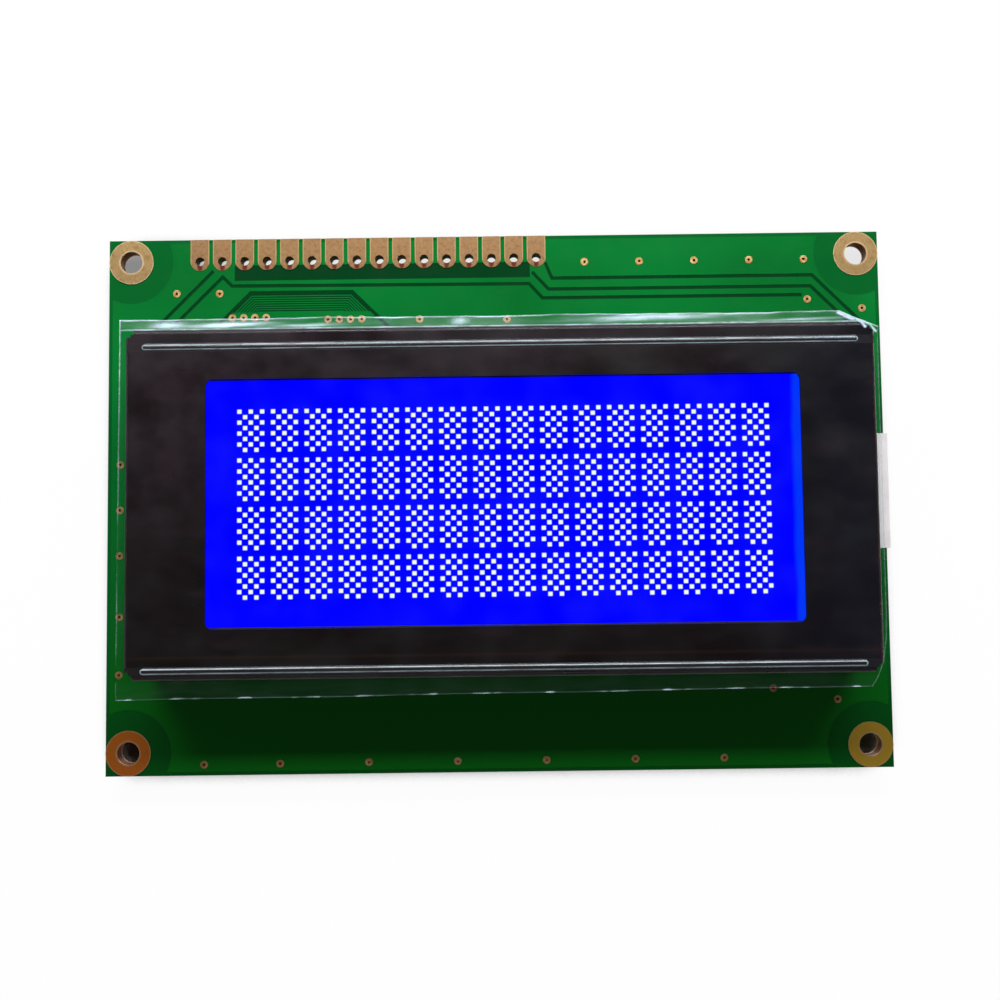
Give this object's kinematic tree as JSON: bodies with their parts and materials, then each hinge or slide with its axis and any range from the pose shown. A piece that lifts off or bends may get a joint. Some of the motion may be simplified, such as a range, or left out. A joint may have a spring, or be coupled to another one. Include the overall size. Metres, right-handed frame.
{
  "type": "character lcd module",
  "caption": "Flat display module: dot-matrix liquid crystal cell and white backlight under a folded black bezel on a green circuit board with a row of connector pads and corner mounting holes.",
  "frame": {"origin": "centre of the four mounting holes, on the front face of the circuit board", "axes": "+X to the right and +Y up as the display is read, +Z out of the display; the module lies on its back, display up"},
  "size_m": [0.087, 0.06, 0.0128],
  "materials": {
    "board": "green solder mask over copper, glossy",
    "plating": "thin gold plating, satin",
    "bezel_paint": "black paint, semi-gloss",
    "film": "clear plastic film, glossy",
    "polarizer": "blue-tinted polarizing film, glossy",
    "glass": "clear plate glass",
    "seal": "cured resin",
    "liquid_crystal": "blue when backlit",
    "lit_dots": "pale yellow-white when backlit",
    "rubber": "silicone with carbon-filled layers",
    "white_sheet": "white film",
    "acrylic": "clear moulded acrylic",
    "white_plastic": "white moulded plastic",
    "lamp": "white package with yellow phosphor",
    "solder": "bright solder",
    "silicon": "polished silicon",
    "glob_resin": "black potting resin, semi-gloss",
    "resistor": "black glaze on ceramic with tinned ends",
    "capacitor": "tan ceramic with tinned ends"
  },
  "bodies": {
    "root": {"circuit_board": "board", "mounting_hole_rings": "plating", "connector_pads": "plating", "vias": "plating", "upper_contact_fingers": "plating", "lower_contact_fingers": "plating", "bezel": "bezel_paint", "protective_film": "film", "front_polarizer": "polarizer", "front_glass": "glass", "edge_seal": "seal", "fill_port_plug": "seal", "liquid_crystal": "liquid_crystal", "lit_dots": "lit_dots", "rear_glass": "glass", "rear_polarizer": "polarizer", "upper_zebra_strip": "rubber", "lower_zebra_strip": "rubber", "diffuser_sheet": "white_sheet", "light_guide": "acrylic", "reflector_sheet": "white_sheet", "backlight_housing": "white_plastic", "led_board": "white_plastic", "leds": "lamp", "backlight_pins": "solder", "backlight_pads": "plating", "backlight_solder": "solder", "controller_die": "silicon", "controller_glob_top": "glob_resin", "oscillator_resistor": "resistor", "supply_capacitor": "capacitor", "bias_capacitor": "capacitor", "chip_solder": "solder", "driver_die_left": "silicon", "driver_glob_top_left": "glob_resin", "driver_die_middle": "silicon", "driver_glob_top_middle": "glob_resin", "driver_die_right": "silicon", "driver_glob_top_right": "glob_resin", "bias_resistor_1": "resistor", "bias_resistor_2": "resistor", "bias_resistor_3": "resistor", "bias_resistor_4": "resistor", "bias_resistor_5": "resistor", "backlight_resistor_1": "resistor", "backlight_resistor_2": "resistor"}
  },
  "joints": []
}
